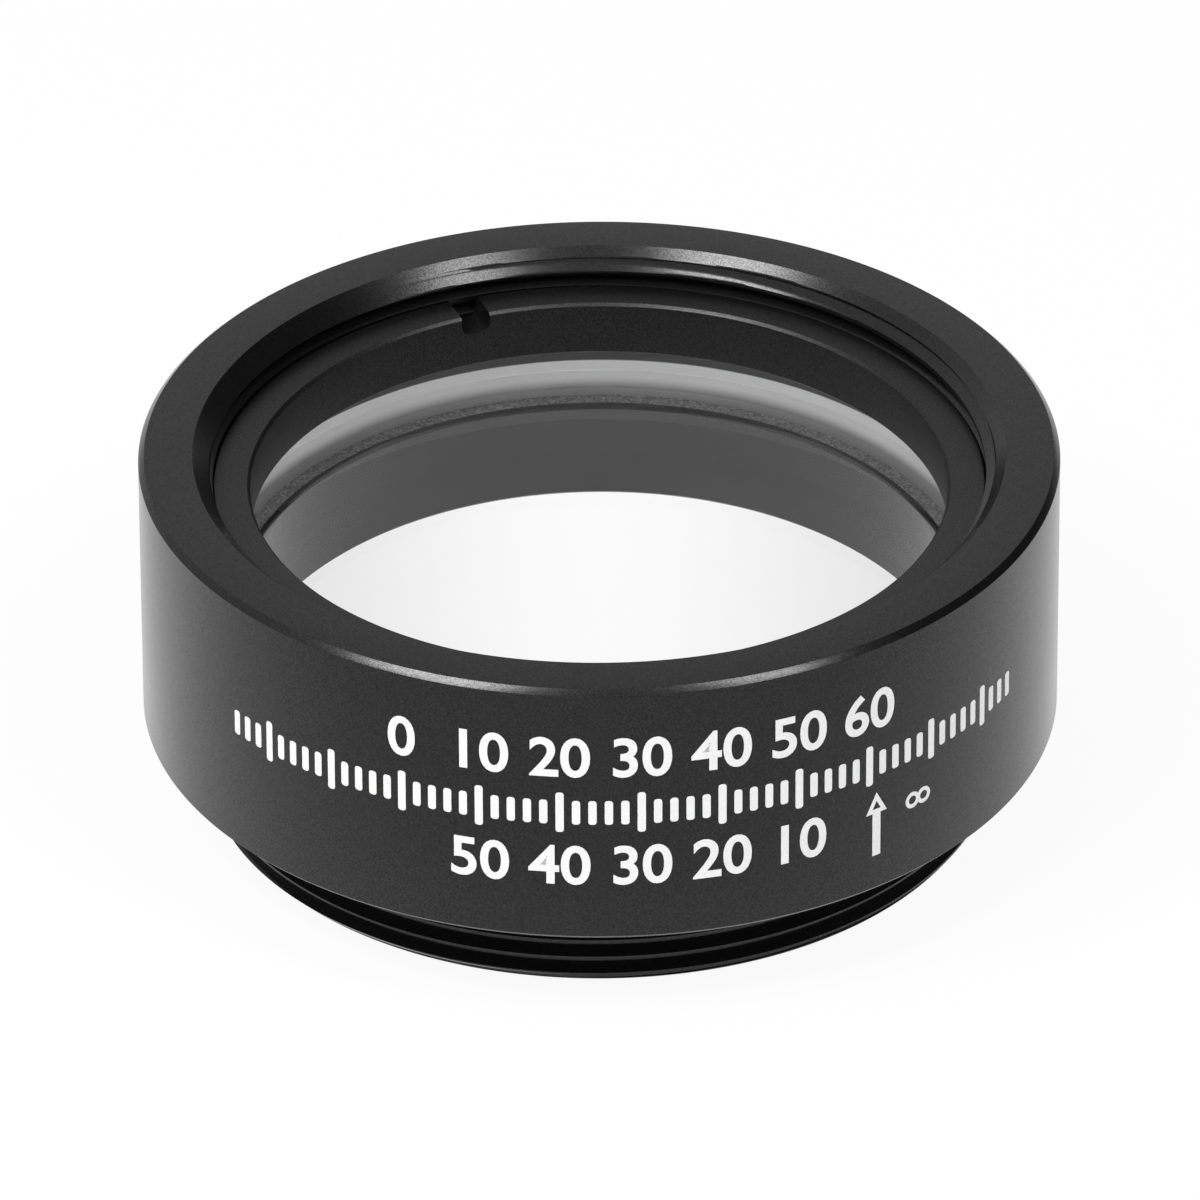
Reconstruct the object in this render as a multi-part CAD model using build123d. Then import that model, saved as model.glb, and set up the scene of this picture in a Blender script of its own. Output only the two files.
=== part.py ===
from build123d import *
import os
from math import sqrt

# A mounted achromatic doublet lens: two cemented glass elements in a turned aluminium cell,
# held down on a ledge by a threaded ring. The optical axis is Z. The cell stands on its
# threaded end, and the side that faces a distant object points up. Millimetres.

# Optic
optic_diameter = 25.4
front_radius = 337.3        # crown's upper face, bulging up
cement_radius = 186.8       # face shared by the two elements, bulging down
back_radius = 557.4         # flint's lower face, bulging down
crown_centre = 4.0          # thickness on the axis
flint_centre = 2.0
glass_bevel = 0.3           # ground off each free edge of the glass
joint_bevel = 0.1           # ground off the edges that meet at the cement

# Cell
optic_clearance = 0.05      # radial gap between glass and bore
thread_allowance = 0.889    # how much larger the thread is than the optic: 26.289 mm, 40 per inch
thread_pitch = 0.635
barrel_wall = 2.095         # from the thread's crests out to the barrel
ledge_reach = 0.9           # how far the ledge reaches in under the glass
ledge_floor = 0.66          # metal between the ledge and the barrel's shoulder
stub_length = 3.09          # threaded end below the shoulder
relief_width = 0.75         # plain groove where the outside thread meets the shoulder
barrel_top_chamfer = 0.2
barrel_foot_chamfer = 0.1
edge_break = 0.1            # small chamfer on the ledge, the lower opening and the ring
mouth_flare = 0.3           # how far the coned mouth opens past the thread's roots
runout_groove = 0.25        # plain groove below the inside thread, along the axis

# Retaining ring
ring_reach = 1.27           # how far the ring reaches in over the glass
ring_depth = 1.19           # ring's upper face below the barrel's upper face
ring_thickness = 1.97
ring_seat_chamfer = 0.25    # around the ring's bore, where it meets the glass
thread_play = 0.02          # radial and axial gap between ring and cell
slot_width = 1.0
slot_depth = 0.7
slot_corner = 0.35
slot_turn = 111.0           # degrees from +X to the first spanner slot

# A thread is drawn plain here: a male thread at its crests, a female one at its crests where it
# is free and at its roots where the ring fills it.
INSIDE_DEPTH = 1.0825       # basic crest to root depth on the diameter, in pitches
OUTSIDE_DEPTH = 1.2269

optic_r = optic_diameter / 2
bore_r = optic_r + optic_clearance
thread_r = (optic_diameter + thread_allowance) / 2
inside_crest_r = thread_r - INSIDE_DEPTH * thread_pitch / 2
outside_root_r = thread_r - OUTSIDE_DEPTH * thread_pitch / 2
thread_depth = thread_r - outside_root_r
barrel_r = thread_r + barrel_wall
opening_r = optic_r - ledge_reach
aperture_r = optic_r - ring_reach
mouth_r = thread_r + mouth_flare


def sag(radius, r):
    """How far a spherical face of this radius falls away from its vertex at distance r."""
    return radius - sqrt(radius**2 - r**2)


# Heights, from the barrel's upper face down. Ring and ledge touch the glass at their inner edges,
# where their chamfers end.
ledge_contact_r = opening_r + edge_break
ring_contact_r = aperture_r + ring_seat_chamfer
front_drop = ring_depth + ring_thickness - sag(front_radius, ring_contact_r)
cement_drop = front_drop + crown_centre
back_drop = cement_drop + flint_centre
ledge_drop = back_drop - sag(back_radius, ledge_contact_r)
shoulder_drop = ledge_drop + ledge_floor
glass_top_drop = front_drop + sag(front_radius, optic_r)

# Heights in the part's frame
top_z = stub_length + shoulder_drop
front_z = top_z - front_drop
cement_z = top_z - cement_drop
back_z = top_z - back_drop
ledge_z = top_z - ledge_drop
ring_top_z = top_z - ring_depth
ring_bottom_z = ring_top_z - ring_thickness
bore_top_z = min(ring_bottom_z - thread_play, top_z - glass_top_drop) - runout_groove


def revolved(outline):
    """Solid of revolution about Z from a closed half section of (r, z) points."""
    with BuildPart() as turned:
        with BuildSketch(Plane.XZ):
            with BuildLine():
                Polyline(*outline, close=True)
            make_face()
        revolve(axis=Axis.Z)
    return turned.part


def make_housing():
    stub = [
        (opening_r + edge_break, 0),
        (outside_root_r, 0),
        (thread_r, thread_depth),
        (thread_r, stub_length - relief_width - thread_depth),
        (outside_root_r, stub_length - relief_width),
        (outside_root_r, stub_length),
    ]
    barrel = [
        (barrel_r - barrel_foot_chamfer, stub_length),
        (barrel_r, stub_length + barrel_foot_chamfer),
        (barrel_r, top_z - barrel_top_chamfer),
        (barrel_r - barrel_top_chamfer, top_z),
    ]
    inside_thread = [
        (mouth_r, top_z),
        (inside_crest_r, top_z - (mouth_r - inside_crest_r)),
        (inside_crest_r, ring_top_z + thread_play),
        (thread_r, ring_top_z + thread_play),
        (thread_r, bore_top_z),
    ]
    seat = [
        (bore_r, bore_top_z),
        (bore_r, ledge_z),
        (ledge_contact_r, ledge_z),
        (opening_r, ledge_z - edge_break),
        (opening_r, edge_break),
    ]
    return revolved(stub + barrel + inside_thread + seat)


def make_retaining_ring():
    outer_r = thread_r - thread_play
    outline = [
        (aperture_r, ring_bottom_z + ring_seat_chamfer),
        (ring_contact_r, ring_bottom_z),
        (outer_r - thread_depth, ring_bottom_z),
        (outer_r, ring_bottom_z + thread_depth),
        (outer_r, ring_top_z - thread_depth),
        (outer_r - thread_depth, ring_top_z),
        (aperture_r + edge_break, ring_top_z),
        (aperture_r, ring_top_z - edge_break),
    ]
    ring = revolved(outline)
    slot_middle_r = (aperture_r + outer_r) / 2
    slot_reach = 2 * (outer_r - aperture_r)
    with BuildPart() as cutter:
        with PolarLocations(slot_middle_r, 2, start_angle=slot_turn):
            with Locations((0, 0, ring_top_z)):
                Box(slot_reach, slot_width, 2 * slot_depth)
        bottom_edges = cutter.edges().filter_by(Axis.Z, reverse=True).group_by(Axis.Z)[0]
        along_slot = [edge for edge in bottom_edges if edge.length > 1.5 * slot_width]
        fillet(along_slot, min(slot_corner, 0.45 * slot_width, 0.9 * slot_depth))
    return ring - cutter.part


def make_element(upper_radius, lower_radius, upper_z, lower_z, upper_bevel, lower_bevel):
    """One glass element: a ground disc whose two faces are cut to spheres, with bevelled rims.

    A radius is positive where the face bulges away from the glass and negative where it is hollow.
    The spheres lie with their poles level, so no seam or pole falls on the glass.
    """
    def vertex_to_rim(radius):
        return sag(abs(radius), optic_r) * (-1 if radius > 0 else 1)

    disc_top = max(upper_z, upper_z + vertex_to_rim(upper_radius))
    disc_bottom = min(lower_z, lower_z - vertex_to_rim(lower_radius))
    with BuildPart() as element:
        with Locations((0, 0, disc_bottom)):
            Cylinder(optic_r, disc_top - disc_bottom, align=(Align.CENTER, Align.CENTER, Align.MIN))
        for centre_z, radius in (
            (upper_z - upper_radius, upper_radius),
            (lower_z + lower_radius, lower_radius),
        ):
            with Locations((0, 0, centre_z)):
                Sphere(
                    abs(radius),
                    rotation=(90, 0, 0),
                    mode=Mode.INTERSECT if radius > 0 else Mode.SUBTRACT,
                )
        for place, bevel in ((-1, upper_bevel), (0, lower_bevel)):
            rims = element.edges().filter_by(GeomType.CIRCLE).sort_by(Axis.Z)
            chamfer(rims[place], bevel)
    return element.part


pieces = {
    "housing": make_housing(),
    "retaining_ring": make_retaining_ring(),
    "crown_element": make_element(
        front_radius, cement_radius, front_z, cement_z, glass_bevel, joint_bevel
    ),
    "flint_element": make_element(
        -cement_radius, back_radius, cement_z, back_z, joint_bevel, glass_bevel
    ),
}

os.makedirs("parts", exist_ok=True)
for name, piece in pieces.items():
    piece.label = name
    export_step(piece, f"parts/{name}.step")
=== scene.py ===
"""Looks of a mounted achromatic doublet lens: a black anodised, threaded cell with its retaining
ring, two cemented glass elements and white printed marks, on a plain pale floor."""

import math

import bmesh
import bpy
from bpy.props import FloatProperty, FloatVectorProperty, IntProperty, PointerProperty
from mathutils import Matrix, Vector


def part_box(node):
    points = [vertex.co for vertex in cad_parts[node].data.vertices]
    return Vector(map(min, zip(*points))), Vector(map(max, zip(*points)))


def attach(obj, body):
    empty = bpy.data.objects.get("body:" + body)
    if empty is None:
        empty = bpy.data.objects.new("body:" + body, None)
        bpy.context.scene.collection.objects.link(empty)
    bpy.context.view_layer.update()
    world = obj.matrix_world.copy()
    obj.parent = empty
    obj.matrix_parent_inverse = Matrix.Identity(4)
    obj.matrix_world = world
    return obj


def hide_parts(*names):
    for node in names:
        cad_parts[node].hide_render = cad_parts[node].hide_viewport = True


bl_info = {
    "name": "Mounted Doublet Lens",
    "version": (1, 0, 0),
    "blender": (4, 5, 0),
    "location": "View3D > Sidebar > Doublet",
    "description": "Builds a mounted achromatic doublet lens around its packed frame",
    "category": "Add Mesh",
}

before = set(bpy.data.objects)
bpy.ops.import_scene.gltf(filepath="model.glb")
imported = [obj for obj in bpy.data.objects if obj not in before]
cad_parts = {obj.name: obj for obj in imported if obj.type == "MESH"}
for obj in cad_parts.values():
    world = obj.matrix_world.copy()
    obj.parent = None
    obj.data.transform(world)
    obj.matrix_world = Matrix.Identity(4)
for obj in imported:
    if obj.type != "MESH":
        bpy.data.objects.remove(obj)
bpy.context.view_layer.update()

BODY = "root"
MM = 0.001

# Places read from the frame
HOUSING_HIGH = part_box("housing")[1]
RING_LOW, RING_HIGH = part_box("retaining_ring")
CROWN_LOW, CROWN_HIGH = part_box("crown_element")
FLINT_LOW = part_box("flint_element")[0]
TOP_Z = HOUSING_HIGH[2]
BARREL_R = HOUSING_HIGH[0]
OPTIC_R = CROWN_HIGH[0]


def to_linear(hex_colour):
    """An sRGB colour written as six hex digits, as linear red, green, blue and alpha."""
    channels = [int(hex_colour[i:i + 2], 16) / 255 for i in (0, 2, 4)]
    linear = [c / 12.92 if c <= 0.04045 else ((c + 0.055) / 1.055) ** 2.4 for c in channels]
    return (*linear, 1.0)


def length(name, description, default_mm):
    """A length property with its default given in millimetres."""
    return FloatProperty(name=name, description=description, default=default_mm * MM,
                         precision=5, subtype="DISTANCE", unit="LENGTH")


def colour(name, description, hex_colour):
    """A colour property with its default given as six hex digits."""
    return FloatVectorProperty(name=name, description=description, size=4, subtype="COLOR",
                               default=to_linear(hex_colour), min=0, max=1)


class ThreadSizes(bpy.types.PropertyGroup):
    pitch: length("Pitch", "Distance between crests, 40 to the inch", 0.635)
    major_r: length("Major radius", "Radius at the outside thread's crests", 13.1445)
    play: length("Play", "Radial gap between the ring's thread and the cell's", 0.02)
    outside_crest: FloatProperty(name="Outside crest", default=0.92, min=0, max=1,
                                 description="Height of the outside thread's crest at +X, in pitches")
    inside_crest: FloatProperty(name="Inside crest", default=0.56, min=0, max=1,
                                description="Height of the inside thread's crest at +X, in pitches")
    segments: IntProperty(name="Segments", default=288, min=32,
                          description="Steps around the axis, for every turned surface")
    steps: IntProperty(name="Steps", default=16, min=8,
                       description="Rows of faces in one pitch, a multiple of 16 to meet every edge")


class CellSizes(bpy.types.PropertyGroup):
    stub_length: length("Stub length", "Height of the threaded end below the shoulder", 3.09)
    relief_width: length("Relief width", "Groove between the outside thread and the shoulder", 0.75)
    opening_r: length("Opening radius", "Bore below the ledge", 11.8)
    optic_gap: length("Optic gap", "Radial gap between the glass and its bore", 0.05)
    mouth_flare: length("Mouth flare", "How far the coned mouth opens past the thread's roots", 0.3)
    top_chamfer: length("Top chamfer", "Edge break around the top of the barrel", 0.2)
    foot_chamfer: length("Foot chamfer", "Edge break around the foot of the barrel", 0.15)
    edge_break: length("Edge break", "Small chamfer on the ledge, the lower opening and the ring", 0.1)
    runout: length("Runout", "Plain groove below the inside thread", 0.25)
    turned_edge: length("Turned edge", "Radius that the tool leaves on each corner", 0.025)


class RingSizes(bpy.types.PropertyGroup):
    aperture_r: length("Aperture radius", "Bore of the ring", 11.55)
    seat_chamfer: length("Seat chamfer", "Around the ring's bore, where it meets the glass", 0.13)
    slot_width: length("Slot width", "Width of each spanner slot", 1.0)
    slot_depth: length("Slot depth", "Depth of each spanner slot", 0.7)
    slot_corner: length("Slot corner", "Radius along the bottom of each slot", 0.35)
    slot_turn: FloatProperty(name="Slot turn", description="Direction of the first slot from +X",
                             default=math.radians(111), subtype="ANGLE", unit="ROTATION")


class GlassSizes(bpy.types.PropertyGroup):
    front_radius: length("Front radius", "Radius of the crown's upper face", 337.3)
    cement_radius: length("Cement radius", "Radius of the face between the elements", 186.8)
    back_radius: length("Back radius", "Radius of the flint's lower face", 557.4)
    bevel: length("Bevel", "Ground off each free edge of the glass", 0.3)
    joint_bevel: length("Joint bevel", "What the cement leaves open of the bevels at the joint", 0.02)
    joint_gap: length("Joint gap", "Left between the elements, so their faces do not coincide", 0.002)
    segments: IntProperty(name="Segments", default=192, min=32, description="Steps around the glass")
    rings: IntProperty(name="Rings", default=14, min=4, description="Rings of faces across the glass")


class MarkSizes(bpy.types.PropertyGroup):
    cap: length("Cap", "Height of the numbers and of the long ticks", 1.5)
    bold: length("Bold", "Added all round each number's outline", 0.035)
    ink_height: length("Ink height", "How far the print stands off the barrel", 0.01)
    ink_sunk: length("Ink sunk", "How far the print's back lies below the barrel's skin", 0.01)
    bend_step: length("Bend step", "Width of the flat facets that the print is bent by", 0.15)
    upper_row: length("Upper row", "Middle of the upper numbers below the top face", 2.6)
    scale_row: length("Scale row", "Middle of the ticks below the top face", 4.6)
    lower_row: length("Lower row", "Middle of the lower numbers below the top face", 6.7)
    tick_width: length("Tick width", "Stroke of a tick", 0.27)
    short_tick: length("Short tick", "Height of the ticks between two long ones", 0.9)
    tick_count: IntProperty(name="Tick count", default=57, min=1, description="Ticks in the scale")
    tick_step: FloatProperty(name="Tick step", description="Angle from one tick to the next",
                             default=math.radians(2), subtype="ANGLE", unit="ROTATION")
    first_tick: FloatProperty(name="First tick", description="Angle of the first tick from the front",
                              default=math.radians(-51), subtype="ANGLE", unit="ROTATION")
    arrow_turn: FloatProperty(name="Arrow turn", description="Angle of the arrow from the front",
                              default=math.radians(36.1), subtype="ANGLE", unit="ROTATION")
    far_turn: FloatProperty(name="Far turn", description="Angle of the infinity sign from the front",
                            default=math.radians(42.8), subtype="ANGLE", unit="ROTATION")


class Finishes(bpy.types.PropertyGroup):
    anodise: colour("Anodise", "Dyed oxide film on the cell and the ring", "0B0B0B")
    # The ledge's film and its specks are drawn paler than the cell's film.
    ledge_dark: colour("Ledge", "Film on the ledge under the glass", "3A3A3A")
    ledge_bright: colour("Ledge specks", "Where the glass has rubbed the ledge", "8A8A8A")
    ink: colour("Ink", "White print on the barrel", "F8F8F8")
    ground: colour("Ground glass", "Edge of the elements", "F4F4F4")
    floor: colour("Floor", "Plain floor", "F0F0F0")


class StageSizes(bpy.types.PropertyGroup):
    elevation: FloatProperty(name="Elevation", description="Camera's height above the horizon",
                             default=0.5487, subtype="ANGLE", unit="ROTATION")
    roll: FloatProperty(name="Roll", description="Camera's turn about its line of sight",
                        default=0.0043, subtype="ANGLE", unit="ROTATION")
    distance: length("Distance", "From the camera to the middle of the cell's upper face", 490.15)
    aside: length("Aside", "How far the camera stands to the right of that point", 0.0286)
    below: length("Below", "How far the camera stands below that point, across its view", 4.9881)
    lens_mm: FloatProperty(name="Focal length", description="Camera lens in millimetres",
                           default=444.975)
    floor_size: length("Floor size", "Side of the floor", 900.0)


class DoubletSettings(bpy.types.PropertyGroup):
    thread: PointerProperty(type=ThreadSizes)
    cell: PointerProperty(type=CellSizes)
    ring: PointerProperty(type=RingSizes)
    glass: PointerProperty(type=GlassSizes)
    marks: PointerProperty(type=MarkSizes)
    finish: PointerProperty(type=Finishes)
    stage: PointerProperty(type=StageSizes)


# Colours and nodes

BLACK = (0.0, 0.0, 0.0, 1.0)
WHITE = (1.0, 1.0, 1.0, 1.0)


def shade_of(base, factor):
    """A colour made darker or lighter by a factor, and opaque."""
    return (*(channel * factor for channel in base[:3]), 1.0)


def add(tree, kind, settings=None, inputs=None):
    """Adds a node. Inputs are values or sockets to link, by name or place."""
    node = tree.nodes.new(kind)
    for name, value in (settings or {}).items():
        setattr(node, name, value)
    for key, value in (inputs or {}).items():
        if isinstance(value, bpy.types.NodeSocket):
            tree.links.new(value, node.inputs[key])
        else:
            node.inputs[key].default_value = value
    return node


def new_material(name):
    """An empty node material, its tree, and the place on the object in metres."""
    material = bpy.data.materials.new(name)
    material.use_nodes = True
    tree = material.node_tree
    tree.nodes.clear()
    return material, tree, add(tree, "ShaderNodeTexCoord").outputs["Object"]


def light_history(tree):
    """What Light Path tells of a ray, and whether it was mirrored or scattered before, 0 or 1."""
    ray = add(tree, "ShaderNodeLightPath").outputs
    was_mirrored, was_scattered = (
        add(tree, "ShaderNodeMath", {"operation": "MINIMUM"}, {0: ray[depth], 1: 1.0}).outputs[0]
        for depth in ("Glossy Depth", "Diffuse Depth"))
    return ray, was_mirrored, was_scattered


# Materials

def black_anodised(name, base, roughness, line_depth, grain_depth, mottle_depth):
    """Black anodised aluminium, turned and then etched matt before the film was grown.

    The dyed film is near black and reflects like a dull varnish, so it goes pale only at a
    glancing angle. Tool lines run around the axis, and the etch leaves an even fine grain.
    """
    line_spacing = 0.05 * MM
    line_length = 6 * MM            # over which a tool line fades in and out along the turn
    grain_size = 0.06 * MM          # the real etch is finer, and is drawn this coarse to show
    mottle_size = 0.11 * MM         # sparser specks of the dye
    cloud_size = 4 * MM             # slow cloudiness of the dye
    cloud_spread = 0.06             # in roughness
    material, tree, place = new_material(name)
    axes = add(tree, "ShaderNodeSeparateXYZ", inputs={0: place}).outputs
    flat = add(tree, "ShaderNodeCombineXYZ", inputs={0: axes[0], 1: axes[1]}).outputs[0]
    radius = add(tree, "ShaderNodeVectorMath", {"operation": "LENGTH"}, {0: flat}).outputs["Value"]
    # Radius and height together count the tool lines, on level faces and on upright walls.
    across = add(tree, "ShaderNodeMath", {"operation": "ADD"}, {0: radius, 1: axes[2]})
    stacked = add(tree, "ShaderNodeMath", {"operation": "DIVIDE"},
                  {0: across.outputs[0], 1: line_spacing})
    lifted = add(tree, "ShaderNodeCombineXYZ", inputs={2: stacked.outputs[0]})
    stretched = add(tree, "ShaderNodeVectorMath", {"operation": "SCALE"},
                    {0: flat, "Scale": 1 / line_length})
    line_place = add(tree, "ShaderNodeVectorMath", {"operation": "ADD"},
                     {0: stretched.outputs[0], 1: lifted.outputs[0]})
    lines = add(tree, "ShaderNodeTexNoise", inputs={
        "Vector": line_place.outputs[0], "Scale": 1.0, "Detail": 2.0, "Roughness": 0.6})
    grain = add(tree, "ShaderNodeTexNoise", inputs={
        "Vector": place, "Scale": 1 / grain_size, "Detail": 3.0, "Roughness": 0.65})
    mottle = add(tree, "ShaderNodeTexNoise", inputs={
        "Vector": place, "Scale": 1 / mottle_size, "Detail": 2.0, "Roughness": 0.6})
    cloud = add(tree, "ShaderNodeTexNoise", inputs={
        "Vector": place, "Scale": 1 / cloud_size, "Detail": 2.0})
    dye = add(tree, "ShaderNodeMapRange", inputs={
        "Value": mottle.outputs["Fac"], "From Min": 0.4, "From Max": 0.75,
        "To Min": 0.0, "To Max": 1.0})
    shade = add(tree, "ShaderNodeMix", {"data_type": "RGBA"}, {
        "Factor": dye.outputs[0], "A": shade_of(base, 0.6), "B": shade_of(base, 1.4)})
    # The etched film reflects unevenly from grain to grain, which gives the fine speckle.
    speckle = add(tree, "ShaderNodeMapRange", inputs={
        "Value": grain.outputs["Fac"], "From Min": 0.38, "From Max": 0.62,
        "To Min": 0.34, "To Max": 0.66})
    sheen = add(tree, "ShaderNodeMath", {"operation": "MULTIPLY_ADD"}, {
        0: cloud.outputs["Fac"], 1: cloud_spread, 2: roughness - cloud_spread / 2})
    shader = add(tree, "ShaderNodeBsdfPrincipled", inputs={
        "Base Color": shade.outputs[2], "Roughness": sheen.outputs[0], "IOR": 1.5,
        "Specular IOR Level": speckle.outputs[0]})
    relief = shader.inputs["Normal"]
    for depth, pattern in ((grain_depth, grain), (mottle_depth, mottle), (line_depth, lines)):
        bump = add(tree, "ShaderNodeBump", inputs={
            "Strength": 1.0, "Distance": depth, "Height": pattern.outputs["Fac"]})
        tree.links.new(bump.outputs[0], relief)
        relief = bump.inputs["Normal"]
    add(tree, "ShaderNodeOutputMaterial", inputs={"Surface": shader.outputs[0]})
    return material


def rubbed_film(name, dark, bright):
    """Black anodising on the ledge, drawn a paler grey than the cell's film, with paler specks."""
    speck_size = 0.1 * MM
    material, tree, place = new_material(name)
    specks = add(tree, "ShaderNodeTexNoise", inputs={
        "Vector": place, "Scale": 1 / speck_size, "Detail": 3.0, "Roughness": 0.7})
    ledge_specks = add(tree, "ShaderNodeMapRange", inputs={
        "Value": specks.outputs["Fac"], "From Min": 0.4, "From Max": 0.7,
        "To Min": 0.0, "To Max": 1.0})
    shade = add(tree, "ShaderNodeMix", {"data_type": "RGBA"},
                {"Factor": ledge_specks.outputs[0], "A": tuple(dark), "B": tuple(bright)})
    shader = add(tree, "ShaderNodeBsdfPrincipled", inputs={
        "Base Color": shade.outputs[2], "Roughness": 0.5, "IOR": 1.5})
    add(tree, "ShaderNodeOutputMaterial", inputs={"Surface": shader.outputs[0]})
    return material


def coated_glass(name, ior, coating):
    """Polished optical glass with an antireflection coating, which leaves a faint reflection."""
    haze_size = 2 * MM              # patches of dust and coating haze
    most_haze = 0.006               # in roughness: almost nothing
    material, tree, place = new_material(name)
    haze = add(tree, "ShaderNodeTexNoise", inputs={
        "Vector": place, "Scale": 1 / haze_size, "Detail": 4.0})
    rough = add(tree, "ShaderNodeMapRange", inputs={
        "Value": haze.outputs["Fac"], "From Min": 0.55, "From Max": 0.8,
        "To Min": 0.0, "To Max": most_haze})
    shader = add(tree, "ShaderNodeBsdfPrincipled", inputs={
        "Base Color": WHITE, "Roughness": rough.outputs[0], "IOR": ior,
        "Transmission Weight": 1.0, "Specular Tint": coating})
    add(tree, "ShaderNodeOutputMaterial", inputs={"Surface": shader.outputs[0]})
    return material


def ground_glass(name, base, lit_top_z, lit_foot_z, seat_z):
    """Edge of the glass, ground with loose grit and left matt, so it scatters a pale grey.

    Its colour holds painted light and shade. It is pale between the two lit heights. Above them it
    lies in the ring's shade, painted dark with a sharp limit, and below them it is painted darker
    down to the ledge that it stands on.
    """
    grit_size = 0.06 * MM           # the real grit is finer, and is drawn this coarse to show
    limit_width = 0.1 * MM
    shaded_level, painted_seat_shade = 0.12, 0.22
    material, tree, place = new_material(name)
    grit = add(tree, "ShaderNodeTexNoise", inputs={
        "Vector": place, "Scale": 1 / grit_size, "Detail": 3.0, "Roughness": 0.7})
    height = add(tree, "ShaderNodeSeparateXYZ", inputs={0: place}).outputs[2]
    # Painted shade: dark above the upper lit height, where the ring shades the edge.
    shaded = add(tree, "ShaderNodeMapRange", inputs={
        "Value": height, "From Min": lit_top_z - limit_width, "From Max": lit_top_z,
        "To Min": 1.0, "To Max": shaded_level})
    # Painted shade: darker from the lower lit height down to the ledge.
    low = add(tree, "ShaderNodeMapRange", {"interpolation_type": "SMOOTHSTEP"}, {
        "Value": height, "From Min": seat_z, "From Max": lit_foot_z,
        "To Min": painted_seat_shade, "To Max": 1.0})
    level = add(tree, "ShaderNodeMath", {"operation": "MULTIPLY"},
                {0: shaded.outputs[0], 1: low.outputs[0]})
    shade = add(tree, "ShaderNodeMix", {"data_type": "RGBA"},
                {"Factor": grit.outputs["Fac"], "A": shade_of(base, 0.95), "B": tuple(base)})
    tone = add(tree, "ShaderNodeMix", {"data_type": "RGBA"},
               {"Factor": level.outputs[0], "A": BLACK, "B": shade.outputs[2]})
    bump = add(tree, "ShaderNodeBump", inputs={
        "Strength": 0.6, "Distance": 0.004 * MM, "Height": grit.outputs["Fac"]})
    shader = add(tree, "ShaderNodeBsdfPrincipled", inputs={
        "Base Color": tone.outputs[2], "Roughness": 0.7, "IOR": 1.5, "Normal": bump.outputs[0]})
    add(tree, "ShaderNodeOutputMaterial", inputs={"Surface": shader.outputs[0]})
    return material


def white_print(name, base):
    """Cured white ink, printed on the matt film: opaque, slightly uneven and dull."""
    speckle_size = 0.12 * MM
    material, tree, place = new_material(name)
    speckle = add(tree, "ShaderNodeTexNoise", inputs={
        "Vector": place, "Scale": 1 / speckle_size, "Detail": 2.0})
    shade = add(tree, "ShaderNodeMix", {"data_type": "RGBA"},
                {"Factor": speckle.outputs["Fac"], "A": shade_of(base, 0.86), "B": tuple(base)})
    bump = add(tree, "ShaderNodeBump", inputs={
        "Strength": 0.4, "Distance": 0.004 * MM, "Height": speckle.outputs["Fac"]})
    shader = add(tree, "ShaderNodeBsdfPrincipled", inputs={
        "Base Color": shade.outputs[2], "Roughness": 0.6, "IOR": 1.5, "Normal": bump.outputs[0]})
    add(tree, "ShaderNodeOutputMaterial", inputs={"Surface": shader.outputs[0]})
    return material


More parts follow.
